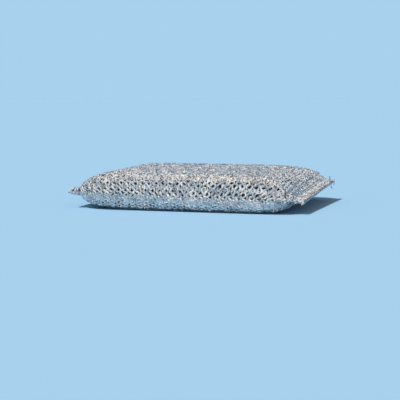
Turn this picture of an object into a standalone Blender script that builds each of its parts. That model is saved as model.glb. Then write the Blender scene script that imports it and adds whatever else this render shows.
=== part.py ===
"""A scouring pad: a foam block inside a knitted sleeve of metallised tape, welded flat at both ends.

The sleeve is one closed tube. Its knitted rows run along the pad's length, and at each end its two
layers are pressed together into a flat fin. Lengths are metres, +X runs along the pad, +Y away from
its front, +Z up, and the origin is on the surface that the pad lies on, under its middle.
"""

import math

import bmesh
import bpy
import numpy as np

MM = 0.001

# The filled body, from weld to weld
BODY_LENGTH = 114.0 * MM
BODY_WIDTH = 93.0 * MM
PAD_HEIGHT = 19.3 * MM

# The welded fins: the right one is deeper, hangs lower and was cut out of square
LEFT_FIN_DEPTH = 5.6 * MM
RIGHT_FIN_DEPTH = 7.0 * MM
FIN_WIDTH = 81.0 * MM
FIN_THICKNESS = 1.2 * MM
LEFT_FIN_DROOP = math.radians(6.0)
RIGHT_FIN_DROOP = math.radians(12.0)
RIGHT_END_SLANT = 3.7 * MM

# How high the welds lie: the right one is lower in front than behind
LEFT_WELD_HEIGHT = 9.4 * MM
RIGHT_WELD_HEIGHT = 9.5 * MM
RIGHT_WELD_RISE = 4.6 * MM

# How full the pillow is: a higher power stays flat for longer and turns over later
END_POWER_TOP = 7.0
END_POWER_BOTTOM = 10.5
SIDE_POWER = 11.0

# How square the long edges are: the upper ones bend tightly, and the lower ones are rounded
UPPER_EDGE_POWER = 8.0
LOWER_EDGE_POWER = 2.0

# The knit: rounded rows on a closed backing
ROW_PITCH = 2.64 * MM
ROW_DEPTH = 0.8 * MM
FIN_ROW_DEPTH = 0.2 * MM
KNIT_BACKING = 0.9 * MM
FLATTENED_MARGIN = 0.2 * MM
STITCH_PITCH = 3.61 * MM

# Gaps between stitches, one for each GAP_ROW_STEP rows and GAP_STITCH_STEP stitches
GAP_WIDTH = 2.0 * MM
GAP_HEIGHT = 1.6 * MM
GAP_ROW_STEP = 5
GAP_STITCH_STEP = 3
GAP_END_MARGIN = 15.0 * MM

# The foam block and the room around it
FOAM_CLEARANCE = 0.3 * MM
FOAM_END_ROOM = 1.0 * MM
FOAM_EDGE = 2.0 * MM
WELD_TO_CAVITY = 2.5 * MM

# How finely the curves are stepped
QUARTERS = 4
BODY_STEPS = 8
SMOOTH_POINTS_PER_QUARTER = 12
ARC_SAMPLES = 240
CUTTER_OVERSHOOT = 1.0 * MM


class Skin:
    """One closed surface of the pillow: the sleeve's outside, its cavity or the foam."""

    def __init__(self, inset, half_length, edge):
        self.inset = inset
        self.half_length = half_length
        self.edge = edge

    def rise(self, x, power):
        """From 1 in the pad's middle to 0 at its ends, along a superellipse."""
        share = min(1.0, abs(x) / self.half_length)
        return math.sqrt(1.0 - share**power)

    def half_width(self, x):
        """Half the width at x, which draws in towards the fins."""
        spare = (BODY_WIDTH - FIN_WIDTH) / 2
        return FIN_WIDTH / 2 + spare * self.rise(x, END_POWER_TOP) - self.inset

    def top_height(self, x, middle):
        """How far the upper surface stands above the weld's plane at x."""
        full = PAD_HEIGHT - self.inset - middle
        return self.edge + (full - self.edge) * self.rise(x, END_POWER_TOP)

    def bottom_height(self, x, middle):
        """How far the lower surface hangs below the weld's plane at x, before it is pressed flat."""
        full = middle + pressed_depth() - self.inset
        return self.edge + (full - self.edge) * self.rise(x, END_POWER_BOTTOM)


def pressed_depth():
    """How much of the knit's thickness is pressed in where the pad stands on it."""
    return ROW_DEPTH + FLATTENED_MARGIN


def knit_thickness():
    return KNIT_BACKING + ROW_DEPTH


def rightness(x):
    """From 0 at the left weld to 1 at the right one."""
    return 0.5 + 0.5 * max(-1.0, min(1.0, x / (BODY_LENGTH / 2)))


def weld_plane(x, y):
    """Height of the plane between the two layers, which follows the welds."""
    level = LEFT_WELD_HEIGHT + (RIGHT_WELD_HEIGHT - LEFT_WELD_HEIGHT) * rightness(x)
    return level + RIGHT_WELD_RISE * (y / FIN_WIDTH) * rightness(x) ** 2


def slant(x, y):
    """How far the out-of-square right end moves a point along the pad."""
    return RIGHT_END_SLANT * (y / FIN_WIDTH) * rightness(x) ** 2


def droop(x):
    """How far a fin hangs below the weld's plane at x."""
    beyond = max(0.0, abs(x) - BODY_LENGTH / 2)
    return beyond * math.tan(LEFT_FIN_DROOP if x < 0.0 else RIGHT_FIN_DROOP)


def overall_middle():
    """The middle of the whole length, as an x of the body's own."""
    left_tip = -BODY_LENGTH / 2 - LEFT_FIN_DEPTH
    right_tip = BODY_LENGTH / 2 + RIGHT_FIN_DEPTH + abs(RIGHT_END_SLANT) / 2
    return (left_tip + right_tip) / 2


def unit_section(bend, power):
    """A point (across, up) on the unit section, whose bend is 0 at the side and 1 at the crown.

    The section follows across**SIDE_POWER + up**power = 1.
    """
    across = 1.0 - bend**power
    return across, (1.0 - across**SIDE_POWER) ** (1.0 / power)


def section_run(half_width, half_height, power):
    """Bends from the side to the crown, and the length of section up to each of them."""
    bend = np.linspace(0.0, 1.0, ARC_SAMPLES)
    across, up = unit_section(bend, power)
    steps = np.hypot(np.diff(half_width * across), np.diff(half_height * up))
    return bend, np.concatenate([[0.0], np.cumsum(steps)])


def points_per_quarter():
    """Points in a quarter of the sleeve's section: a crest and a valley for each knitted row."""
    run = section_run(BODY_WIDTH / 2, PAD_HEIGHT / 2, LOWER_EDGE_POWER)[1]
    return 2 * round(run[-1] / ROW_PITCH)


def section_quarter(x, per_quarter, power):
    """Evenly spaced points (across, up) on a quarter of the sleeve's section at x, from its side."""
    outer = outer_skin()
    bend, run = section_run(outer.half_width(x), outer.top_height(x, PAD_HEIGHT / 2), power)
    even = np.linspace(0.0, run[-1], per_quarter + 1)
    return np.column_stack(unit_section(np.interp(even, run, bend), power))


def section_ring(share, per_quarter):
    """Points (across, up) once round the unit section, evenly spaced, from the front over the top.

    The share says how far along the body the section is. Every skin takes its ring from the
    outer one, so that the facets of two skins lie parallel and keep their distance.
    """
    x = share * outer_skin().half_length
    top = section_quarter(x, per_quarter, UPPER_EDGE_POWER)
    bottom = section_quarter(x, per_quarter, LOWER_EDGE_POWER)
    upper = np.concatenate([top[:-1], (top * (-1, 1))[:0:-1]])
    lower = np.concatenate([-bottom[:-1], (bottom * (1, -1))[:0:-1]])
    return np.concatenate([upper, lower])


def skin_point(skin, x, section, sunk=0.0):
    """A point on a skin at x and a place (across, up) in its section, sunk below the surface.

    The x is the body's own, counted from half-way between the welds.
    """
    across, up = section
    y = -(skin.half_width(x) - sunk) * across
    middle = weld_plane(x, y)
    height = skin.top_height(x, middle) if up >= 0.0 else skin.bottom_height(x, middle)
    z = middle + (height - sunk) * up - droop(x)
    return (x + slant(x, y) - overall_middle(), y, max(z, 0.0))


def stations(half_length):
    """Places along the body, closer together towards its ends, where the surface turns down."""
    turns = np.linspace(-math.pi / 2, math.pi / 2, 2 * BODY_STEPS + 1)
    return [half_length * math.sin(turn) for turn in turns]


def row_depth(x):
    """Depth of the valleys between rows, which the weld presses down."""
    share = min(1.0, (BODY_LENGTH / 2 - min(abs(x), BODY_LENGTH / 2)) / WELD_TO_CAVITY)
    return FIN_ROW_DEPTH + (ROW_DEPTH - FIN_ROW_DEPTH) * share


def close_end(shape, loop):
    """Closes a flat ring of vertices with strips, each from a point above to the one below it."""
    count = len(loop)
    for i in range(count // 2):
        strip = (loop[i], loop[i + 1], loop[(count - i - 1) % count], loop[(count - i) % count])
        shape.faces.new(dict.fromkeys(strip))


def loft(name, rings):
    """A closed mesh through rings of points."""
    shape = bmesh.new()
    loops = [[shape.verts.new(point) for point in ring] for ring in rings]
    for before, after in zip(loops, loops[1:]):
        for i in range(len(before)):
            j = (i + 1) % len(before)
            shape.faces.new((before[i], before[j], after[j], after[i]))
    close_end(shape, loops[0])
    close_end(shape, loops[-1])
    return finish_shape(name, shape)


def finish_shape(name, shape):
    """Turns the faces outwards and makes an object of them."""
    bmesh.ops.recalc_face_normals(shape, faces=shape.faces)
    mesh = bpy.data.meshes.new(name)
    shape.to_mesh(mesh)
    shape.free()
    made = bpy.data.objects.new(name, mesh)
    bpy.context.scene.collection.objects.link(made)
    return made


def outer_skin():
    return Skin(inset=0.0, half_length=BODY_LENGTH / 2, edge=FIN_THICKNESS / 2)


def cavity_skin():
    return Skin(
        inset=knit_thickness(),
        half_length=BODY_LENGTH / 2 - WELD_TO_CAVITY,
        edge=FOAM_EDGE / 2 + FOAM_CLEARANCE,
    )


def foam_skin():
    return Skin(
        inset=knit_thickness() + FOAM_CLEARANCE,
        half_length=BODY_LENGTH / 2 - WELD_TO_CAVITY - FOAM_END_ROOM,
        edge=FOAM_EDGE / 2,
    )


def knitted_outside():
    """The sleeve's outer surface: rows along the pad, running on into both fins."""
    skin = outer_skin()
    per_quarter = points_per_quarter()
    left_tip = -BODY_LENGTH / 2 - LEFT_FIN_DEPTH
    right_tip = BODY_LENGTH / 2 + RIGHT_FIN_DEPTH
    places = [left_tip, *stations(BODY_LENGTH / 2), right_tip]
    rings = []
    for x in places:
        share = max(-1.0, min(1.0, x / skin.half_length))
        ring = section_ring(share, per_quarter)
        depths = [row_depth(x) * (i % 2) for i in range(len(ring))]
        rings.append([skin_point(skin, x, place, d) for place, d in zip(ring, depths)])
    return loft("knit_sleeve", rings)


def smooth_skin(name, skin):
    """A plain closed surface, as of the cavity or the foam."""
    rings = []
    for x in stations(skin.half_length):
        ring = section_ring(x / skin.half_length, SMOOTH_POINTS_PER_QUARTER)
        rings.append([skin_point(skin, x, place) for place in ring])
    return loft(name, rings)


def gap_places():
    """Where gaps go: an x, and a point's number in the ring, in valleys staggered like stitches."""
    reach = BODY_LENGTH / 2 - GAP_END_MARGIN
    spacing = GAP_STITCH_STEP * STITCH_PITCH
    columns = int(2 * reach / spacing)
    points = QUARTERS * points_per_quarter()
    rings = int(points / (2 * GAP_ROW_STEP))
    places = []
    for ring in range(rings):
        valley = 2 * round(ring * points / (2 * rings)) + 1
        stagger = spacing / 4 * (1 if ring % 2 else -1)
        for column in range(columns):
            x = (column - (columns - 1) / 2) * spacing + stagger
            places.append((x, valley))
    return places


def gap_frame(x, valley):
    """A gap's middle on the sleeve's surface, with the directions out, along and around there."""
    skin = outer_skin()
    per_quarter = points_per_quarter()
    ring = section_ring(x / skin.half_length, per_quarter)
    sunk = row_depth(x)
    centre = np.array(skin_point(skin, x, ring[valley], sunk))
    before = skin_point(skin, x, ring[valley - 2], sunk)
    after = skin_point(skin, x, ring[(valley + 2) % len(ring)], sunk)
    around = np.subtract(after, before)
    around = around / np.linalg.norm(around)
    along = np.array([1.0, 0.0, 0.0])
    out = np.cross(around, along)
    return centre, out, along, around


def gap_cutter():
    """A three-cornered plug through the sleeve's wall at each gap, as a stitch leaves open."""
    shape = bmesh.new()
    for x, valley in gap_places():
        centre, out, along, around = gap_frame(x, valley)
        corners = (
            around * GAP_HEIGHT / 2 + along * GAP_WIDTH / 2,
            around * GAP_HEIGHT / 2 - along * GAP_WIDTH / 2,
            -around * GAP_HEIGHT / 2,
        )
        outside = centre + out * (ROW_DEPTH + CUTTER_OVERSHOOT)
        inside = centre - out * (knit_thickness() + CUTTER_OVERSHOOT)
        near = [shape.verts.new(outside + corner) for corner in corners]
        far = [shape.verts.new(inside + corner) for corner in corners]
        shape.faces.new(near)
        shape.faces.new(far[::-1])
        for i in range(len(corners)):
            j = (i + 1) % len(corners)
            shape.faces.new((near[i], far[i], far[j], near[j]))
    return finish_shape("gap_cutter", shape)


def cut(target, cutter):
    """Takes the cutter's shape out of the target, and hides the cutter."""
    modifier = target.modifiers.new(cutter.name, "BOOLEAN")
    modifier.operation = "DIFFERENCE"
    modifier.solver = "EXACT"
    modifier.object = cutter
    cutter.hide_render = True
    cutter.display_type = "WIRE"


def principled(name, colour, roughness, metallic):
    material = bpy.data.materials.new(name)
    material.use_nodes = True
    shader = material.node_tree.nodes["Principled BSDF"]
    shader.inputs["Base Color"].default_value = (*colour, 1.0)
    shader.inputs["Roughness"].default_value = roughness
    shader.inputs["Metallic"].default_value = metallic
    material.diffuse_color = (*colour, 1.0)
    return material


def main():
    for old in list(bpy.data.objects):
        bpy.data.objects.remove(old)
    sleeve = knitted_outside()
    cut(sleeve, smooth_skin("cavity_cutter", cavity_skin()))
    cut(sleeve, gap_cutter())
    sleeve.data.materials.append(principled("metallised_knit", (0.72, 0.73, 0.74), 0.3, 1.0))
    foam = smooth_skin("foam_core", foam_skin())
    foam.data.materials.append(principled("foam", (0.10, 0.10, 0.11), 0.9, 0.0))


main()
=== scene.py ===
"""Looks of a scouring pad: flat metallised tape knitted into a sleeve over a foam block.

The knit, the fins and the loose tape stand in for the sleeve's solid, and a foam block for the
core's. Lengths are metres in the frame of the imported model: +X along the pad, +Y away from its
front, +Z up from the surface that the pad lies on.
"""

import math

import bpy
import numpy as np
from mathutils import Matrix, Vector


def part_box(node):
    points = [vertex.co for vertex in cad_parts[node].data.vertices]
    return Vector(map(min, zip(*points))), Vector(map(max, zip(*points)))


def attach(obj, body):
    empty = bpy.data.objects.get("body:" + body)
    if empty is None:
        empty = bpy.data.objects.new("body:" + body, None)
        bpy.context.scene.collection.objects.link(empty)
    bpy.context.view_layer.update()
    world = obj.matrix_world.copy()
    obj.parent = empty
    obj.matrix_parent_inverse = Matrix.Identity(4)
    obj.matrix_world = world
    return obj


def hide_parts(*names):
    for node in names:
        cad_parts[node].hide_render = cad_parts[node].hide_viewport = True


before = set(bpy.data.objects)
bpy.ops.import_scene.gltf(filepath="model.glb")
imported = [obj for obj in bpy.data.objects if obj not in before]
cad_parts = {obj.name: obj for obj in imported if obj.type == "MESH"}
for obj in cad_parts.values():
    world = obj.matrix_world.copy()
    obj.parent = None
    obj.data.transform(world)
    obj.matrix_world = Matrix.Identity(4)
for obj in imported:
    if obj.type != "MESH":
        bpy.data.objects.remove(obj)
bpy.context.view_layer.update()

MM = 0.001
TURN = 2.0 * math.pi

# The pillow, with the values of the sleeve's solid
SLEEVE_LOW, SLEEVE_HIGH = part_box("knit_sleeve")
BODY_WIDTH = SLEEVE_HIGH[1] - SLEEVE_LOW[1]
PAD_HEIGHT = SLEEVE_HIGH[2]
HALF_BODY = 57.0 * MM
LEFT_FIN_DEPTH = 5.6 * MM
RIGHT_FIN_DEPTH = 7.0 * MM
FIN_WIDTH = 81.0 * MM
FIN_THICKNESS = 1.2 * MM
LEFT_FIN_DROOP = math.radians(6.0)
RIGHT_FIN_DROOP = math.radians(12.0)
RIGHT_END_SLANT = 3.7 * MM
LEFT_WELD_HEIGHT = 9.4 * MM
RIGHT_WELD_HEIGHT = 9.5 * MM
RIGHT_WELD_RISE = 4.6 * MM
SIDE_POWER = 11.0
UPPER_EDGE_POWER = 8.0
LOWER_EDGE_POWER = 2.0
PRESSED_DEPTH = 1.0 * MM
BODY_MIDDLE = SLEEVE_LOW[0] + LEFT_FIN_DEPTH + HALF_BODY

# What the cloth does beyond the solid: the rise of its ends, and how far its sides lean in above
LEFT_POWER_TOP = 10.0
LEFT_POINT_TOP = 1.0
LEFT_POWER_BOTTOM = 8.0
LEFT_POINT_BOTTOM = 0.8
RIGHT_POWER_TOP = 6.0
RIGHT_POINT_TOP = 0.64
RIGHT_OVERHANG = 2.2 * MM
RIGHT_POWER_BOTTOM = 10.5
RIGHT_POINT_BOTTOM = 0.5
SIDE_LEAN = 0.045

# The knit: its stitches are 3.9 mm wide and its rows 2.3 mm apart
STITCHES = 36
ROWS = 90
STEPS_PER_STITCH = 14
ROW_START = 0.9
LOOP_HEIGHT = 0.78
LOOP_SPREAD = 0.28
KNIT_LIFT = 0.10 * MM
FOOT_SHARE = 0.3

# The knit's six pieces round the sleeve, each with its first row, counted from the front edge up
FIRST_ROWS = {
    "knit_front": -5,
    "knit_top_front": 6,
    "knit_top_back": 23,
    "knit_back": 40,
    "knit_underside_back": 50,
    "knit_underside_front": 68,
}

# How deep the knit lies under the cloth's surface: on the body, where it is pressed into a fin,
# at the fins' roots, and along the fold at the front and back of each end
KNIT_SINK = 0.50 * MM
PRESSED_SINK = 0.30 * MM
PRESSED_LIFT = 0.10 * MM
PRESSED_START = 1.2 * MM
PRESSED_REACH = 1.6 * MM
LEFT_ROOT_SINK = 0.4 * MM
RIGHT_ROOT_SINK = 1.5 * MM
ROOT_REACH = 0.8 * MM
FOLD_REACH = 0.045
TUCK_SINK = 1.2 * MM
TUCK_PLACE = 5.0 * MM
TUCK_REACH = 2.5 * MM
PARTING_SINK = 0.9 * MM
PARTING_REACH = 2.0 * MM
KNIT_FLOOR = 0.35 * MM
FLOOR_GAP = 0.02 * MM

# The tape: film slit about 1 mm wide, and narrower where it bends round a loop's head. It is drawn
# wider than it is, to hide as much foam as in the photograph
TAPE_WIDTH = 1.43 * MM
TAPE_ARCH = 0.55 * MM
HEAD_NARROWING = 0.30
CRINKLE = 0.12 * MM
LOOSE_TILT = math.radians(14.0)
TILT_PRESSED_OUT = 0.5
CRINKLE_PRESSED_OUT = 0.3

# How far a section's corners lie across the tape and out of it, as shares of its width and arch
ARCH = np.array(
    [
        (-0.5, 0.0),
        (-0.28, 0.7),
        (0.0, 1.0),
        (0.28, 0.7),
        (0.5, 0.0),
        (0.25, 0.1),
        (0.0, 0.3),
        (-0.25, 0.1),
    ]
)
# Which of the five creases along the tape each of those corners belongs to
CREASE = np.array([0, 1, 2, 3, 4, 3, 2, 1])
CREASES = 5
# A rod's corners, for the fused edges, as shares of its width and thickness
ROD = np.array(
    [
        (-0.5, 0.0),
        (-0.3, 0.4),
        (0.0, 0.5),
        (0.3, 0.4),
        (0.5, 0.0),
        (0.3, -0.4),
        (0.0, -0.5),
        (-0.3, -0.4),
    ]
)

# The knit's unevenness from stitch to stitch and from row to row, as shares of what it changes
HEIGHT_SPREAD = 0.04
DRIFT_SPREAD = 0.03
DRIFT_WAVE = 0.05
LIFT_SPREAD = 0.04
LIFT_WAVE = 0.10
ROW_SPREAD = 0.12
SWING_SPREAD = 0.2
WIDTH_SPREAD = 0.10
TONE_SPREAD = 0.25
MIDDLE_TONE = 0.5

# No stitch or crease strays further than this many times its spread
FURTHEST_SPREADS = 2.5
FURTHEST_CRINKLES = 2.0

# An unevenness that is longer than a stitch is a sum of this many waves, which comes to about this
WAVES = 6
WAVE_SUM = 2.4

# The tape's pattern moves on by this many mm from row to row, so that no two rows look alike, and
# by this many from step to step along loose tape
ROW_SHIFT = 37.0
STRAY_STEP = 0.3

# The length along the middle of the sleeve, over its top, from cut edge to cut edge
SLEEVE_RUN = 141.0 * MM

# The grid that the cloth's surface is read from, and how finely a section is walked for it
RING_POINTS = 480
BODY_STATIONS = 401
FIN_STATIONS = 15
EVEN_STATIONS = 700
BEND_SAMPLES = 400

# The fins: the fold of the sleeve stays open a little at their front and back corners
FLARE_LEFT_ROOT = 3.4 * MM
FLARE_LEFT_TIP = 1.6 * MM
FLARE_RIGHT = 0.6 * MM
FLARE_REACH = 7.0 * MM
FLARE_ABOVE = 0.5
FLARE_BELOW = 1.1
FLARE_AT_BACK = 0.6

# The welded bands, which reach a little past the fins, with a dimple every fourth step each way
WELD_MARGIN = 0.6 * MM
LEFT_WELD = (LEFT_FIN_DEPTH + WELD_MARGIN) / SLEEVE_RUN
RIGHT_WELD = 1.0 - (RIGHT_FIN_DEPTH + WELD_MARGIN) / SLEEVE_RUN
BAND_SINK = 0.18 * MM
BAND_START = 0.012
BAND_STEPS = 15
BAND_COLUMNS = 241
DIMPLE_DEPTH = 0.12 * MM
CRUMPLE = 0.20 * MM
CRUMPLE_TURNS = 50

# The fused bead along each cut edge
BEAD_WIDTH = 0.9 * MM
BEAD_PLACE = 0.5 * BEAD_WIDTH / SLEEVE_RUN
BEAD_START = 0.004
BEAD_STEPS = 260
BEAD_STRAYING = 0.10 * MM
BEAD_SPREAD = 0.16
BEAD_CREASE = 0.06 * MM
BEAD_OPENING = 0.6

# Loose tape, in mm: each stray end's start from the corner, its reach, and its middle's bend aside
STRAYS = np.array(
    [
        [(-2.0, -1.0, 0.4), (-0.2, 0.0, 2.6), (0.3, 0.0, 0.0)],
        [(0.0, 0.0, 0.0), (0.0, -0.5, -4.9), (-1.3, 0.0, -0.2)],
        [(-0.4, 0.0, 0.0), (1.1, -0.8, -0.6), (0.1, 0.0, 0.5)],
        [(-0.4, 0.0, 0.0), (0.8, 0.5, 0.9), (0.2, 0.0, -0.4)],
        [(-0.4, -0.5, 0.0), (0.9, -0.6, -2.2), (0.4, 0.0, 0.2)],
    ]
)
STRAY_FACING = (1.25, -0.96, 0.1)
STRAY_STEPS = 12
STRAY_WIDTH = 0.8 * MM
STRAY_ARCH = 0.15 * MM
STRAY_CREASE = 0.04 * MM

# The loops along the left cut edge: where they lie round the sleeve, and how far they stand out
EDGE_LOOPS = 26
LOOPS_START = 0.002
LOOPS_END = 0.49
LOOP_PITCH = 0.014
LOOP_STRAYING = 0.002
LOOP_BULGE = (0.5 * MM, 1.1 * MM)
LOOP_SWAY = (-0.9 * MM, 0.6 * MM)

# The foam block
FOAM_INSET = 1.25 * MM
FOAM_END = 1.5 * MM
FOAM_STATIONS = 121
FOAM_POINTS = 240

# The materials' colours, and their patterns' sizes as how many of each go to a millimetre
TAPE_TONES = [(0.0, "ACB2B9"), (1.0, "EFECE8")]
CRINKLES_PER_MM = 1.6
CRINKLE_STRETCH = 2.2
FILM_COLOUR = "D6D7D8"
FILM_GRAINS_PER_MM = 1.4
# The foam's dark grey, with painted shade: darker towards the hollow middle of each cell
FOAM_TONE_AND_PORE_SHADE = [(0.0, "1A1D21"), (1.0, "464A52")]
FOAM_CELLS_PER_MM = 2.0

# The photograph's view, fitted to the pad's outline
CAMERA_PLACE = (150.7 * MM, -568.5 * MM, 62.9 * MM)
CAMERA_YAW = math.radians(15.18)
CAMERA_PITCH = math.radians(5.93)
CAMERA_LENS = 96.7

# The floor and what lies behind it
PALE = "A8D1EE"
FLOOR_REACH = 6.0

# The room: its even light, and what bright metal sees of it from low to high. The metal's way up
# leans towards the viewer, and the room is nearly dark far to the left and right
EVEN_LIGHT = 0.28
ROOM = [(0.36, "84B2DA"), (0.48, "33363B"), (0.70, "33363B"), (0.88, "FFFDFB")]
ROOM_UP = (0.0, -0.6, 1.0)
ROOM_SPAN = 0.5
ROOM_LIGHT = 1.25
ASIDE_LIGHT = 0.05
ASIDE_START = 0.60
ASIDE_END = 0.66

# The lamp: as wide to the eye as a 20 cm softbox 3 m away
LAMP_STRENGTH = 2.6
LAMP_SIZE = math.radians(4.0)
LAMP_TILT = math.radians(30.0)
LAMP_TURN = math.radians(-50.0)


def linear(hex_colour):
    """An sRGB hex colour as linear red, green, blue and alpha."""
    parts = [int(hex_colour[i : i + 2], 16) / 255.0 for i in (0, 2, 4)]
    flat = [p / 12.92 if p <= 0.04045 else ((p + 0.055) / 1.055) ** 2.4 for p in parts]
    return (*flat, 1.0)


def rise(x, reach, power, point):
    """From 1 in the pad's middle to 0 at its reach: 1 - share**power, to the power of point."""
    share = np.minimum(1.0, np.abs(x) / reach)
    return (1.0 - share**power) ** point


def top_rise(x):
    """The upper side's rise: pointed on the left, and hanging a little over the weld on the right."""
    left = rise(x, HALF_BODY, LEFT_POWER_TOP, LEFT_POINT_TOP)
    right = rise(x, HALF_BODY + RIGHT_OVERHANG, RIGHT_POWER_TOP, RIGHT_POINT_TOP)
    return np.where(x > 0.0, right, left)


def bottom_rise(x):
    """The lower side's rise: a straighter slope on the left, and blunt on the right."""
    left = rise(x, HALF_BODY, LEFT_POWER_BOTTOM, LEFT_POINT_BOTTOM)
    right = rise(x, HALF_BODY, RIGHT_POWER_BOTTOM, RIGHT_POINT_BOTTOM)
    return np.where(x > 0.0, right, left)


def flare(x, y):
    """Extra half thickness near a fin's front and back corners, falling off like a bell curve."""
    beyond = np.abs(x) - HALF_BODY
    root = np.where(x < 0.0, FLARE_LEFT_ROOT, FLARE_RIGHT)
    tip = np.where(x < 0.0, FLARE_LEFT_TIP, FLARE_RIGHT)
    out = np.clip(beyond / LEFT_FIN_DEPTH, 0.0, 1.0)
    along = np.where(beyond > 0.0, root + (tip - root) * out, root * np.exp(-((beyond / FLARE_REACH) ** 2)))
    corner = np.exp(-(((np.abs(y) - FIN_WIDTH / 2) / FLARE_REACH) ** 2))
    return along * corner * np.where(y < 0.0, 1.0, FLARE_AT_BACK)


def pillow(x, across, up, inset=0.0):
    """Points of the pillow's surface at x, counted from half-way between the welds.

    Each section is across**SIDE_POWER + up**power = 1, with the upper edge's power above the plane
    of the welds and the lower edge's below it. It is stretched to the half width and to the
    height, which both fall off along superellipses towards the ends, and its upper half leans in
    by a share of its width. What would hang below the floor is pressed flat.
    """
    fullness = top_rise(x)
    spare = (BODY_WIDTH - FIN_WIDTH) / 2
    y = -(FIN_WIDTH / 2 + spare * fullness - inset) * across
    y = y * (1.0 - SIDE_LEAN * np.maximum(up, 0.0))
    right = 0.5 + 0.5 * np.clip(x / HALF_BODY, -1.0, 1.0)
    level = LEFT_WELD_HEIGHT + (RIGHT_WELD_HEIGHT - LEFT_WELD_HEIGHT) * right
    middle = level + RIGHT_WELD_RISE * (y / FIN_WIDTH) * right**2
    spread = flare(x, y)
    edge = FIN_THICKNESS / 2 + FLARE_ABOVE * spread
    over = edge + (PAD_HEIGHT - inset - middle - edge) * fullness
    edge = FIN_THICKNESS / 2 + FLARE_BELOW * spread
    under = edge + (middle + PRESSED_DEPTH - inset - edge) * bottom_rise(x)
    beyond = np.maximum(0.0, np.abs(x) - HALF_BODY)
    droop = beyond * np.where(x < 0.0, math.tan(LEFT_FIN_DROOP), math.tan(RIGHT_FIN_DROOP))
    z = middle + np.where(up >= 0.0, over, under) * up - droop
    slant = RIGHT_END_SLANT * (y / FIN_WIDTH) * right**2
    return np.stack([BODY_MIDDLE + x + slant, y, np.maximum(z, inset)], -1)


def quarter(half_width, half_height, count, power):
    """Evenly spaced places (across, up) on a quarter of a section, from its edge to its middle.

    across**SIDE_POWER + up**power = 1, walked by a bend that has across = 1 - bend**power.
    """
    bend = np.linspace(0.0, 1.0, BEND_SAMPLES)
    across = 1.0 - bend**power
    up = (1.0 - across**SIDE_POWER) ** (1.0 / power)
    steps = np.hypot(np.diff(half_width * across), np.diff(half_height * up))
    run = np.concatenate([[0.0], np.cumsum(steps)])
    across = 1.0 - np.interp(np.linspace(0.0, run[-1], count + 1), run, bend) ** power
    return np.column_stack([across, (1.0 - across**SIDE_POWER) ** (1.0 / power)])


def section_ring(x, count):
    """Places (across, up) round one section, from the front edge over the top and back below."""
    fullness = top_rise(x)
    half_width = FIN_WIDTH / 2 + (BODY_WIDTH - FIN_WIDTH) / 2 * fullness
    half_height = FIN_THICKNESS / 2 + (PAD_HEIGHT - FIN_THICKNESS) / 2 * fullness
    top = quarter(half_width, half_height, count // 4, UPPER_EDGE_POWER)
    bottom = quarter(half_width, half_height, count // 4, LOWER_EDGE_POWER)
    upper = np.concatenate([top[:-1], (top * (-1, 1))[:0:-1]])
    lower = np.concatenate([-bottom[:-1], (bottom * (1, -1))[:0:-1]])
    return np.concatenate([upper, lower])


def even_along(values, run):
    """Each column of values [station, column] read again at even steps of its run."""
    share = np.linspace(0.0, 1.0, EVEN_STATIONS)
    columns = [np.interp(share * run[-1, c], run[:, c], values[:, c]) for c in range(run.shape[1])]
    return np.stack(columns, 1)


class Cloth:
    """The sleeve's outer surface as a grid, evenly spaced by length along it and round it.

    The first way runs from the left fin's cut edge to the right one's, and the second from the
    front edge over the top, down the back and along the underside.
    """

    def __init__(self):
        turns = np.linspace(-math.pi / 2, math.pi / 2, BODY_STATIONS)
        left = np.linspace(-HALF_BODY - LEFT_FIN_DEPTH, -HALF_BODY, FIN_STATIONS)[:-1]
        right = np.linspace(HALF_BODY, HALF_BODY + RIGHT_FIN_DEPTH, FIN_STATIONS)[1:]
        x = np.concatenate([left, HALF_BODY * np.sin(turns), right])
        rings = np.array([section_ring(place, RING_POINTS) for place in x])
        places = pillow(x[:, None], rings[..., 0], rings[..., 1])
        steps = np.linalg.norm(np.diff(places, axis=0), axis=-1)
        run = np.concatenate([np.zeros((1, RING_POINTS)), np.cumsum(steps, axis=0)])
        even = np.stack([even_along(places[..., k], run) for k in range(3)], -1)
        stations = np.broadcast_to(x[:, None], run.shape)
        around = (np.roll(even, -1, 1) - np.roll(even, 1, 1)) / 2
        out = np.cross(np.gradient(even, axis=0), around)
        out /= np.linalg.norm(out, axis=-1, keepdims=True)
        self.table = np.concatenate([even, out, even_along(stations, run)[..., None]], -1)

    def read(self, along, around):
        """Places, outward directions and stations at shares along and around the sleeve.

        Each is mixed from the four grid points round it, by how near it lies to them.
        """
        row = np.clip(along, 0.0, 1.0) * (EVEN_STATIONS - 1)
        column = (around % 1.0) * RING_POINTS
        low = np.minimum(row.astype(int), EVEN_STATIONS - 2)
        left = column.astype(int) % RING_POINTS
        right = (left + 1) % RING_POINTS
        up = (row - low)[..., None]
        aside = (column - np.floor(column))[..., None]
        lower = self.table[low, left] * (1 - aside) + self.table[low, right] * aside
        upper = self.table[low + 1, left] * (1 - aside) + self.table[low + 1, right] * aside
        mixed = lower * (1 - up) + upper * up
        out = mixed[..., 3:6] / np.linalg.norm(mixed[..., 3:6], axis=-1, keepdims=True)
        return mixed[..., :3], out, mixed[..., 6]


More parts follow.
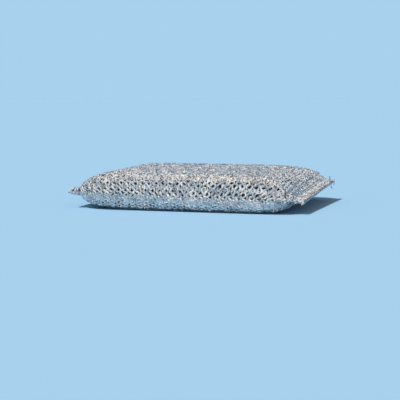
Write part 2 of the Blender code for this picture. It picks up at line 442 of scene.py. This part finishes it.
def make_object(name, vertices, quads, material, tape_map=None, tone=None, smooth=True):
    """A mesh object from arrays, with an optional UV map in millimetres and tone of each vertex."""
    mesh = bpy.data.meshes.new(name)
    mesh.vertices.add(len(vertices))
    mesh.vertices.foreach_set("co", vertices.astype(np.float32).ravel())
    mesh.loops.add(quads.size)
    mesh.loops.foreach_set("vertex_index", quads.astype(np.int32).ravel())
    mesh.polygons.add(len(quads))
    mesh.polygons.foreach_set("loop_start", np.arange(0, quads.size, 4, dtype=np.int32))
    mesh.update(calc_edges=True)
    if tape_map is not None:
        layer = mesh.uv_layers.new(name="tape_map")
        layer.uv.foreach_set("vector", tape_map[quads.ravel()].astype(np.float32).ravel())
    if tone is not None:
        mesh.attributes.new("tone", "FLOAT", "POINT")
        mesh.attributes["tone"].data.foreach_set("value", tone.astype(np.float32))
    mesh.validate()
    if smooth:
        mesh.shade_smooth()
    else:
        mesh.shade_flat()
    mesh.materials.append(material)
    made = bpy.data.objects.new(name, mesh)
    bpy.context.scene.collection.objects.link(made)
    return made


def unit(vectors):
    """The same directions with a length of 1."""
    return vectors / np.linalg.norm(vectors, axis=-1, keepdims=True)


def sweep(section, centre, out, width, thickness, tilt, creases):
    """A flat section carried along each path [path, step], closed at both ends.

    The section lies across the path and flat on the cloth, whose outward direction is given, and
    is then turned about the path by its tilt. Its creases raise or lower its corners at each
    step. Returns vertices and quads.
    """
    ahead = unit(np.gradient(centre, axis=1))
    side = unit(np.cross(out, ahead))
    face = np.cross(ahead, side)
    turn, lift = np.cos(tilt)[..., None], np.sin(tilt)[..., None]
    wide = side * turn + face * lift
    thick = face * turn - side * lift
    corners = section[:, 0, None] * (wide * width[..., None])[:, :, None]
    heights = section[:, 1] * thickness[..., None] + creases[..., CREASE]
    corners = corners + thick[:, :, None] * heights[..., None]
    vertices = centre[:, :, None] + corners
    paths, steps, points = vertices.shape[:3]
    number = np.arange(paths * steps * points).reshape(paths, steps, points)
    turned = np.roll(number, -1, 2)
    walls = np.stack([number[:, :-1], number[:, 1:], turned[:, 1:], turned[:, :-1]], -1)
    caps = [number[:, 0, :4], number[:, 0, [0, 3, 4, 7]], number[:, 0, 4:]]
    ends = [number[:, -1, 3::-1], number[:, -1, [7, 4, 3, 0]], number[:, -1, :3:-1]]
    quads = np.concatenate([walls.reshape(-1, 4), *caps, *ends])
    return vertices.reshape(-1, 3), quads


def wobble(along, around, size, seed, least=1, most=5):
    """A smooth unevenness: a sum of waves with random directions, turn counts and phases."""
    rng = np.random.default_rng(seed)
    total = np.zeros(np.broadcast(along, around).shape)
    for _ in range(WAVES):
        turns_along, turns_around = rng.integers(least, most), rng.integers(-most, most + 1)
        total += np.sin(TURN * (turns_along * along + turns_around * around + rng.random()))
    return size * total / WAVE_SUM


def per_stitch(spread, stitch, seed):
    """A random value for each stitch of each row, passing smoothly from one to the next."""
    rng = np.random.default_rng(seed)
    values = rng.normal(0.0, spread, (ROWS, 2 * STITCHES + 2))
    values = np.clip(values, -FURTHEST_SPREADS * spread, FURTHEST_SPREADS * spread)
    half = 2.0 * stitch
    low = half.astype(int)
    blend = 0.5 - 0.5 * np.cos(math.pi * (half - low))
    return values[:, low] * (1.0 - blend) + values[:, low + 1] * blend


def tape_paths(cloth, stitch):
    """The path, direction, width, tilt, creases and tone of the tape in every row of the knit.

    With t turning once for each stitch, the tape goes along by stitch + spread * sin(2t), up the
    cloth by -height * cos(t), and out of it by a share of cos(t) less a share of cos(2t). So the
    legs of each V lie outside, the bend between two stitches behind them, and the loop's head
    behind both.
    """
    t = TURN * stitch
    rows = np.arange(ROWS)[:, None]
    share = stitch / STITCHES
    row_share = rows / ROWS
    height = LOOP_HEIGHT * (1.0 + per_stitch(HEIGHT_SPREAD, stitch, seed=51))
    drift = wobble(share, row_share, DRIFT_WAVE, seed=3) + per_stitch(DRIFT_SPREAD, stitch, seed=52)
    along = (stitch + LOOP_SPREAD * np.sin(2.0 * t) + drift) / STITCHES
    lift_row = wobble(share, row_share, LIFT_WAVE, seed=5) + per_stitch(LIFT_SPREAD, stitch, seed=53)
    lift_row += np.random.default_rng(50).normal(0.0, ROW_SPREAD, (ROWS, 1))
    around = (rows + ROW_START - height * np.cos(t) + lift_row) / ROWS
    place, out, station = cloth.read(along, around)
    beyond = np.abs(station) - HALF_BODY
    pressed = np.clip((beyond + PRESSED_START) / PRESSED_REACH, 0.0, 1.0)
    sink = KNIT_SINK * (1.0 - pressed) + PRESSED_SINK * pressed
    root_sink = np.where(station < 0.0, LEFT_ROOT_SINK, RIGHT_ROOT_SINK)
    sink += root_sink * np.exp(-((beyond / ROOT_REACH) ** 2))
    fold = np.exp(-((np.sin(TURN * around) / FOLD_REACH) ** 2))
    tuck = TUCK_SINK * np.exp(-(((beyond + TUCK_PLACE) / TUCK_REACH) ** 2))
    parting = PARTING_SINK * np.clip(beyond / PARTING_REACH, 0.0, 1.0)
    sink += fold * np.where(station < 0.0, tuck, parting)
    lift = KNIT_LIFT * (1.0 - pressed) + PRESSED_LIFT * pressed
    swing = FOOT_SHARE * np.cos(t) - (1.0 - FOOT_SHARE) * np.cos(2.0 * t)
    level = lift * swing * (1.0 + per_stitch(SWING_SPREAD, stitch, seed=54)) - sink
    centre = place + out * level[..., None]
    centre[..., 2] = np.maximum(centre[..., 2], KNIT_FLOOR)
    narrowing = 1.0 - HEAD_NARROWING * np.cos(t) ** 2
    width = TAPE_WIDTH * narrowing * (1.0 + per_stitch(WIDTH_SPREAD, stitch, seed=55))
    tilt = per_stitch(LOOSE_TILT, stitch, seed=56) * (1.0 - TILT_PRESSED_OUT * pressed)
    rng = np.random.default_rng(57)
    creases = rng.normal(0.0, CRINKLE, (*width.shape, CREASES))
    creases = np.clip(creases, -FURTHEST_CRINKLES * CRINKLE, FURTHEST_CRINKLES * CRINKLE)
    creases *= (1.0 - CRINKLE_PRESSED_OUT * pressed)[..., None]
    tone = MIDDLE_TONE + per_stitch(TONE_SPREAD, stitch, seed=58)
    return centre, out, width, tilt, creases, tone


def knit(cloth, material):
    """Every row of the knit, in six pieces round the sleeve from its front edge."""
    stitch = np.linspace(0.0, STITCHES, STITCHES * STEPS_PER_STITCH + 1)
    tapes = tape_paths(cloth, stitch)
    firsts = list(FIRST_ROWS.values())
    ends = [*firsts[1:], firsts[0] + ROWS]
    made = []
    for name, first, end in zip(FIRST_ROWS, firsts, ends):
        chosen = np.arange(first, end) % ROWS
        centre, out, width, tilt, creases, tone = (values[chosen] for values in tapes)
        arch = np.full_like(width, TAPE_ARCH)
        vertices, quads = sweep(ARCH, centre, out, width, arch, tilt, creases)
        vertices[:, 2] = np.maximum(vertices[:, 2], FLOOR_GAP)
        steps = np.linalg.norm(np.diff(centre, axis=1), axis=-1)
        run = np.concatenate([np.zeros((len(centre), 1)), np.cumsum(steps, axis=1)], 1) / MM
        run += ROW_SHIFT * np.arange(len(centre))[:, None]
        across = np.broadcast_to(ARCH[:, 0] * TAPE_WIDTH / MM, (*run.shape, len(ARCH)))
        tape_map = np.stack([np.repeat(run.ravel(), len(ARCH)), across.ravel()], 1)
        tones = np.repeat(tone.ravel(), len(ARCH))
        made.append(make_object(name, vertices, quads, material, tape_map, tones, smooth=False))
    return made


def closed_grid(top, bottom):
    """Vertices and quads of a slab from two grids of the same size, one over the other."""
    rows, columns = top.shape[:2]
    upper = np.arange(rows * columns).reshape(rows, columns)
    lower = upper + rows * columns

    def cells(grid):
        return np.stack([grid[:-1, :-1], grid[1:, :-1], grid[1:, 1:], grid[:-1, 1:]], -1).reshape(-1, 4)

    def rim(line, under):
        return np.stack([line[:-1], line[1:], under[1:], under[:-1]], -1)

    sides = [
        rim(upper[0], lower[0]),
        rim(upper[-1][::-1], lower[-1][::-1]),
        rim(upper[:, 0][::-1], lower[:, 0][::-1]),
        rim(upper[:, -1], lower[:, -1]),
    ]
    quads = np.concatenate([cells(upper), cells(lower)[:, ::-1], *sides])
    vertices = np.concatenate([top.reshape(-1, 3), bottom.reshape(-1, 3)])
    return vertices, quads


def weld_band(cloth, name, inner, outer, material):
    """One fin's pressed film: a slab between two shares along the sleeve, with staggered dimples.

    With a quarter turn for each step, the dimples are the positive parts of cos * cos and of
    sin * sin of the turns along and round the sleeve.
    """
    along = np.linspace(inner, outer, BAND_STEPS)[:, None]
    around = np.linspace(BAND_START, 0.5 - BAND_START, BAND_COLUMNS)[None, :]
    row = TURN / 4.0 * np.arange(BAND_STEPS)[:, None]
    column = TURN / 4.0 * np.arange(BAND_COLUMNS)[None, :]
    dimple = np.maximum(0.0, np.cos(row) * np.cos(column)) + np.maximum(0.0, np.sin(row) * np.sin(column))
    faces = []
    for turn in (around, 1.0 - around):
        place, out, _ = cloth.read(along, turn)
        crumple = wobble(along, turn, CRUMPLE, seed=21, least=CRUMPLE_TURNS // 2, most=CRUMPLE_TURNS)
        faces.append(place - out * (BAND_SINK + DIMPLE_DEPTH * dimple + crumple)[..., None])
    vertices, quads = closed_grid(*faces)
    return make_object(name, vertices, quads, material, smooth=False)


def bead(cloth, name, share, seed, material):
    """The fused bead along a fin's cut edge: an uneven rod, as wide as it is thick."""
    around = np.linspace(BEAD_START, 0.5 - BEAD_START, BEAD_STEPS)
    over, out, _ = cloth.read(np.full_like(around, share), around)
    under, _, _ = cloth.read(np.full_like(around, share), 1.0 - around)
    centre = (over + under) / 2
    rng = np.random.default_rng(seed)
    centre += rng.normal(0.0, BEAD_STRAYING, centre.shape)
    width = BEAD_WIDTH * (1.0 + rng.normal(0.0, BEAD_SPREAD, around.shape))
    width += BEAD_OPENING * (np.linalg.norm(over - under, axis=-1) - FIN_THICKNESS)
    creases = rng.normal(0.0, BEAD_CREASE, (1, len(around), CREASES))
    shape = [values[None] for values in (centre, out, width, width, np.zeros_like(width))]
    vertices, quads = sweep(ROD, *shape, creases)
    return make_object(name, vertices, quads, material, smooth=False)


def loose_tape(name, centre, material):
    """Loose lengths of tape along the given paths [path, step], flat side towards the front."""
    shape = centre.shape[:2]
    facing = np.broadcast_to(unit(np.array(STRAY_FACING)), centre.shape)
    creases = np.random.default_rng(61).normal(0.0, STRAY_CREASE, (*shape, CREASES))
    sizes = [np.full(shape, value) for value in (STRAY_WIDTH, STRAY_ARCH, 0.0)]
    vertices, quads = sweep(ARCH, centre, facing, *sizes, creases)
    run = np.repeat(np.arange(shape[1]) * STRAY_STEP, len(ARCH))
    tape_map = np.stack([np.tile(run, shape[0]), np.tile(ARCH[:, 0], shape[0] * shape[1])], 1)
    tone = np.full(len(vertices), MIDDLE_TONE)
    return make_object(name, vertices, quads, material, tape_map, tone, smooth=False)


def stray_ends(cloth, material):
    """The cut tape ends that stick out of the right fin's back corner.

    Each path is start + reach * s + bend * sin(pi * s), as s goes from 0 to 1.
    """
    corner, _, _ = cloth.read(np.array([1.0]), np.array([0.5]))
    s = np.linspace(0.0, 1.0, STRAY_STEPS)[:, None]
    start, reach, bend = (STRAYS[:, k, None] * MM for k in range(3))
    centre = corner + start + reach * s + bend * np.sin(math.pi * s)
    return loose_tape("stray_tape_ends", centre, material)


def edge_loops(cloth, material):
    """Small loops of tape left along the left fin's cut edge, as half turns that bulge outwards."""
    rng = np.random.default_rng(62)
    s = np.linspace(0.0, 1.0, STRAY_STEPS)
    middle = np.linspace(LOOPS_START, LOOPS_END, EDGE_LOOPS)[:, None]
    middle = middle + rng.normal(0.0, LOOP_STRAYING, (EDGE_LOOPS, 1))
    around = np.abs(middle + LOOP_PITCH * (s - 0.5))
    place, _, _ = cloth.read(np.zeros_like(around), around)
    bulge = np.sin(math.pi * s) * rng.uniform(*LOOP_BULGE, (EDGE_LOOPS, 1))
    sway = np.sin(math.pi * s) * rng.uniform(*LOOP_SWAY, (EDGE_LOOPS, 1))
    centre = place + np.stack([-bulge, np.zeros_like(bulge), sway - 0.5 * FIN_THICKNESS], -1)
    return loose_tape("left_edge_loops", centre, material)


def foam(material):
    """The foam block: the pillow again, set in from the knit, as a closed tube of rings."""
    reach = HALF_BODY - FOAM_END
    x = reach * np.sin(np.linspace(-math.pi / 2, math.pi / 2, FOAM_STATIONS))
    rings = np.array([section_ring(place, FOAM_POINTS) for place in x])
    places = pillow(x[:, None], rings[..., 0], rings[..., 1], FOAM_INSET)
    steps, points = places.shape[:2]
    number = np.arange(steps * points).reshape(steps, points)
    turned = np.roll(number, -1, 1)
    walls = np.stack([number[:-1], number[1:], turned[1:], turned[:-1]], -1).reshape(-1, 4)
    low = np.arange(points // 2)
    strip = [low, low + 1, points - low - 1, (points - low) % points]
    left = np.stack([number[0, k % points] for k in strip], -1)
    right = np.stack([number[-1, k % points] for k in strip], -1)[:, ::-1]
    quads = np.concatenate([walls, left, right])
    return make_object("foam_block", places.reshape(-1, 3), quads, material)


def add_node(owner, kind, links=(), **settings):
    """Adds a node, sets its properties or inputs by name, and links (output, input) pairs to it."""
    node = owner.node_tree.nodes.new(kind)
    for name, value in settings.items():
        if hasattr(node, name):
            setattr(node, name, value)
        else:
            node.inputs[name.replace("_", " ")].default_value = value
    for output, socket in links:
        owner.node_tree.links.new(output, node.inputs[socket])
    return node


def set_stops(ramp, tones):
    """Gives a colour ramp its stops, from (place, hex colour) pairs."""
    while len(ramp.elements) < len(tones):
        ramp.elements.new(0.5)
    for element, (place, colour) in zip(ramp.elements, tones):
        element.position = place
        element.color = linear(colour)


def new_material(name, **values):
    """A Principled material whose plain numbers and colours are set on its own sockets."""
    material = bpy.data.materials.new(name)
    material.use_nodes = True
    shader = material.node_tree.nodes["Principled BSDF"]
    for socket, value in values.items():
        shader.inputs[socket.replace("_", " ")].default_value = value
    return material, shader


def join(owner, output, node, socket):
    """Links an output to a node that is there already."""
    owner.node_tree.links.new(output, node.inputs[socket])


def aluminised_tape():
    """Polyester film with aluminium vapour on it, slit into tape.

    It mirrors the room brightly, a little greyer or warmer from stitch to stitch. Crinkles along
    the tape, about 0.6 by 0.3 mm, break the mirror into glints and soft patches.
    """
    material, shader = new_material("aluminised_polyester_tape", Metallic=1.0)
    uv = add_node(material, "ShaderNodeUVMap", uv_map="tape_map")
    tone = add_node(material, "ShaderNodeAttribute", attribute_name="tone")
    colours = add_node(material, "ShaderNodeValToRGB", [(tone.outputs["Fac"], "Fac")])
    set_stops(colours.color_ramp, TAPE_TONES)
    join(material, colours.outputs["Color"], shader, "Base Color")
    stretch = add_node(
        material,
        "ShaderNodeMapping",
        [(uv.outputs["UV"], "Vector")],
        Scale=(1.0, CRINKLE_STRETCH, 1.0),
    )
    crinkle = add_node(
        material,
        "ShaderNodeTexNoise",
        [(stretch.outputs["Vector"], "Vector")],
        Scale=CRINKLES_PER_MM,
        Detail=3.0,
    )
    bump = add_node(
        material, "ShaderNodeBump", [(crinkle.outputs["Fac"], "Height")], Strength=0.6, Distance=0.12 * MM
    )
    join(material, bump.outputs["Normal"], shader, "Normal")
    gloss = add_node(
        material, "ShaderNodeMapRange", [(crinkle.outputs["Fac"], "Value")], To_Min=0.04, To_Max=0.12
    )
    join(material, gloss.outputs["Result"], shader, "Roughness")
    return material


def welded_film():
    """The same film fused under the welding bar: duller, with a grain of about 0.7 mm."""
    material, shader = new_material(
        "heat_welded_film", Metallic=1.0, Roughness=0.38, Base_Color=linear(FILM_COLOUR)
    )
    place = add_node(material, "ShaderNodeTexCoord")
    grain = add_node(
        material,
        "ShaderNodeTexNoise",
        [(place.outputs["Object"], "Vector")],
        Scale=FILM_GRAINS_PER_MM / MM,
        Detail=2.0,
    )
    bump = add_node(
        material, "ShaderNodeBump", [(grain.outputs["Fac"], "Height")], Strength=0.6, Distance=0.15 * MM
    )
    join(material, bump.outputs["Normal"], shader, "Normal")
    return material


def open_cell_foam():
    """Polyurethane foam coloured dark grey, which keeps the gaps between the tapes dark: matt, with cells
    about 0.5 mm wide that are painted darker towards their hollow middles, as painted shade in the pores.
    """
    material, shader = new_material("open_cell_polyurethane_foam", Roughness=0.95)
    place = add_node(material, "ShaderNodeTexCoord")
    cells = add_node(
        material,
        "ShaderNodeTexVoronoi",
        [(place.outputs["Object"], "Vector")],
        Scale=FOAM_CELLS_PER_MM / MM,
    )
    # Painted shade in the pores: the colour darkens towards each cell's middle, where the bump sinks
    # deepest
    colours = add_node(material, "ShaderNodeValToRGB", [(cells.outputs["Distance"], "Fac")])
    set_stops(colours.color_ramp, FOAM_TONE_AND_PORE_SHADE)
    join(material, colours.outputs["Color"], shader, "Base Color")
    bump = add_node(
        material, "ShaderNodeBump", [(cells.outputs["Distance"], "Height")], Strength=0.8, Distance=0.2 * MM
    )
    join(material, bump.outputs["Normal"], shader, "Normal")
    return material


def floor():
    """Matt paper, pale and without a sheen, which the background meets in its own colour."""
    material, _ = new_material(
        "matt_paper_floor", Roughness=1.0, Specular_IOR_Level=0.0, Base_Color=linear(PALE)
    )
    corners = FLOOR_REACH * np.array([(-1, -1, 0), (1, -1, 0), (1, 1, 0), (-1, 1, 0)])
    make_object("floor", corners, np.array([[0, 1, 2, 3]]), material)


def studio():
    """The room: an even light on matt surfaces, and what the bright metal reflects.

    Metal sees the pale blue background low behind the pad, a dim band above it, and a bright
    ceiling from there over the viewer's head. Far to the left and right it is nearly dark.
    """
    world = bpy.data.worlds.new("studio")
    bpy.context.scene.world = world
    world.use_nodes = True
    even = world.node_tree.nodes["Background"]
    even.inputs["Color"].default_value = linear("FFFFFF")
    even.inputs["Strength"].default_value = EVEN_LIGHT
    heading = add_node(world, "ShaderNodeTexCoord")
    parts = add_node(world, "ShaderNodeSeparateXYZ", [(heading.outputs["Generated"], "Vector")])
    height = add_node(
        world,
        "ShaderNodeVectorMath",
        [(heading.outputs["Generated"], 0)],
        operation="DOT_PRODUCT",
    )
    height.inputs[1].default_value = ROOM_UP
    spread = add_node(
        world,
        "ShaderNodeMapRange",
        [(height.outputs["Value"], "Value")],
        From_Min=-ROOM_SPAN,
        From_Max=ROOM_SPAN,
    )
    room = add_node(world, "ShaderNodeValToRGB", [(spread.outputs["Result"], "Fac")])
    set_stops(room.color_ramp, ROOM)
    aside = add_node(world, "ShaderNodeMath", [(parts.outputs["X"], 0)], operation="ABSOLUTE")
    strength = add_node(
        world,
        "ShaderNodeMapRange",
        [(aside.outputs["Value"], "Value")],
        From_Min=ASIDE_START,
        From_Max=ASIDE_END,
        To_Min=ROOM_LIGHT,
        To_Max=ASIDE_LIGHT,
    )
    seen = add_node(
        world,
        "ShaderNodeBackground",
        [(room.outputs["Color"], "Color"), (strength.outputs["Result"], "Strength")],
    )
    plain = add_node(world, "ShaderNodeBackground", Color=linear(PALE))
    rays = add_node(world, "ShaderNodeLightPath")
    shiny = add_node(
        world,
        "ShaderNodeMath",
        [(rays.outputs["Is Glossy Ray"], 0), (rays.outputs["Is Transmission Ray"], 1)],
        operation="MAXIMUM",
    )
    lit = add_node(
        world,
        "ShaderNodeMixShader",
        [(shiny.outputs["Value"], "Fac"), (even.outputs["Background"], 1), (seen.outputs["Background"], 2)],
    )
    whole = add_node(
        world,
        "ShaderNodeMixShader",
        [
            (rays.outputs["Is Camera Ray"], "Fac"),
            (lit.outputs["Shader"], 1),
            (plain.outputs["Background"], 2),
        ],
    )
    join(world, whole.outputs["Shader"], world.node_tree.nodes["World Output"], "Surface")


def key_lamp():
    """A soft, distant lamp, high and in front on the left, which the metal itself doesn't mirror."""
    light = bpy.data.lights.new("key", "SUN")
    light.energy = LAMP_STRENGTH
    light.angle = LAMP_SIZE
    lamp = bpy.data.objects.new("key", light)
    lamp.rotation_euler = (LAMP_TILT, 0.0, LAMP_TURN)
    lamp.visible_glossy = False
    bpy.context.scene.collection.objects.link(lamp)


def camera():
    """The photograph's view: a long lens, low in front of the pad and a little to its right."""
    made = bpy.data.cameras.new("camera")
    made.lens = CAMERA_LENS
    made.clip_start = 0.01
    made.clip_end = 20.0
    placed = bpy.data.objects.new("camera", made)
    placed.location = CAMERA_PLACE
    placed.rotation_euler = (math.pi / 2 - CAMERA_PITCH, 0.0, CAMERA_YAW)
    bpy.context.scene.collection.objects.link(placed)
    bpy.context.scene.camera = placed


bpy.context.scene.view_settings.view_transform = "Standard"
camera()
floor()
studio()
key_lamp()
tape = aluminised_tape()
cloth = Cloth()
film = welded_film()
pieces = knit(cloth, tape)
pieces.append(weld_band(cloth, "left_weld_band", 0.0, LEFT_WELD, film))
pieces.append(weld_band(cloth, "right_weld_band", RIGHT_WELD, 1.0, film))
pieces.append(bead(cloth, "left_cut_edge", BEAD_PLACE, 31, film))
pieces.append(bead(cloth, "right_cut_edge", 1.0 - BEAD_PLACE, 32, film))
pieces.append(stray_ends(cloth, tape))
pieces.append(edge_loops(cloth, tape))
for piece in pieces:
    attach(piece, "root")
    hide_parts("knit_sleeve")
block = foam(open_cell_foam())
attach(block, "root")
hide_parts("foam_core")
